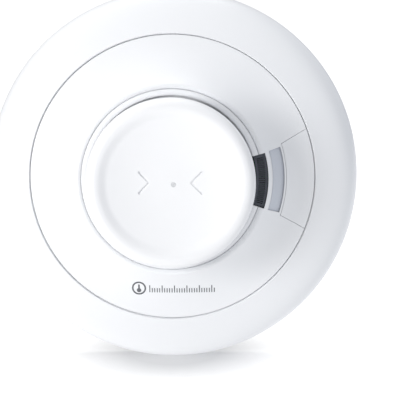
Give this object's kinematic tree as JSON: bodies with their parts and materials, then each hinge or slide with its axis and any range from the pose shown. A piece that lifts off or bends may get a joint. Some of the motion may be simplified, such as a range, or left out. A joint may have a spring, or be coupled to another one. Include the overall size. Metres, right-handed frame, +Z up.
{
  "type": "heat detector",
  "caption": "Round wall-mounted wireless heat detector: base ring, twist-off bell-shaped head, dished test button and a dark side window over its thermistor.",
  "frame": {"origin": "centre of the back face, on the wall", "axes": "+Y into the wall, -Y towards the room with the test button facing -Y, +Z up, +X to the right with the sensing window"},
  "size_m": [0.12, 0.0465, 0.12],
  "materials": {
    "shell_white": "glossy moulded plastic",
    "button_white": "satin moulded plastic",
    "chassis_white": "matte moulded plastic",
    "vent_grey": "matte",
    "guard_dark": "matte",
    "cell_jacket": "printed sleeve with bare ends",
    "spring_steel": "bright",
    "screw_steel": "zinc plated",
    "board_green": "solder mask",
    "chip_black": "matte",
    "shield_tin": "tin plated",
    "aerial_copper": "bare wire",
    "can_aluminium": "drawn can",
    "chip_part_body": "matte",
    "led_lens": "clear dome",
    "thermistor_glass": "glass bead",
    "sounder_black": "matte",
    "piezo_brass": "rolled disc",
    "plunger_white": "smooth",
    "pipe_clear": "clear acrylic"
  },
  "bodies": {
    "base": {"wall_plate": "chassis_white", "outer_ring": "shell_white"},
    "head": {"rear_housing": "chassis_white", "head_cover": "shell_white", "side_panel": "shell_white", "vent_insert": "vent_grey", "sensor_guard": "guard_dark", "inner_collar": "shell_white", "battery_tray": "chassis_white", "battery_1": "cell_jacket", "battery_2": "cell_jacket", "battery_contacts": "spring_steel", "battery_springs": "spring_steel", "circuit_board": "board_green", "housing_screws": "screw_steel", "board_screws": "screw_steel", "tact_switch": "chip_black", "microcontroller": "chip_black", "radio_shield": "shield_tin", "antenna": "aerial_copper", "capacitors": "can_aluminium", "chip_parts": "chip_part_body", "crystal": "shield_tin", "status_led": "led_lens", "thermistor": "thermistor_glass", "sounder_housing": "sounder_black", "piezo_disc": "piezo_brass", "sounder_pins": "piezo_brass", "return_spring": "spring_steel"},
    "button": {"test_button": "button_white", "light_pipe": "pipe_clear"},
    "switch_plunger": {"switch_plunger": "plunger_white"}
  },
  "joints": [
    {"name": "bayonet_twist", "type": "hinge", "parent": "base", "child": "head", "pos_m": [0, 0, 0], "axis": [0, -1, 0], "range_deg": [0, 15]},
    {"name": "button_press", "type": "slide", "parent": "head", "child": "button", "axis": [0, 1, 0], "range_m": [0, 0.001], "stiffness_N_per_m": 1500, "springref_m": -0.0015, "deforming": ["return_spring"]},
    {"name": "switch_travel", "type": "slide", "parent": "head", "child": "switch_plunger", "axis": [0, 1, 0], "range_m": [0, 0.001]}
  ],
  "couplings": [
    {"joint": "switch_travel", "follows": "button_press", "ratio": 1}
  ]
}
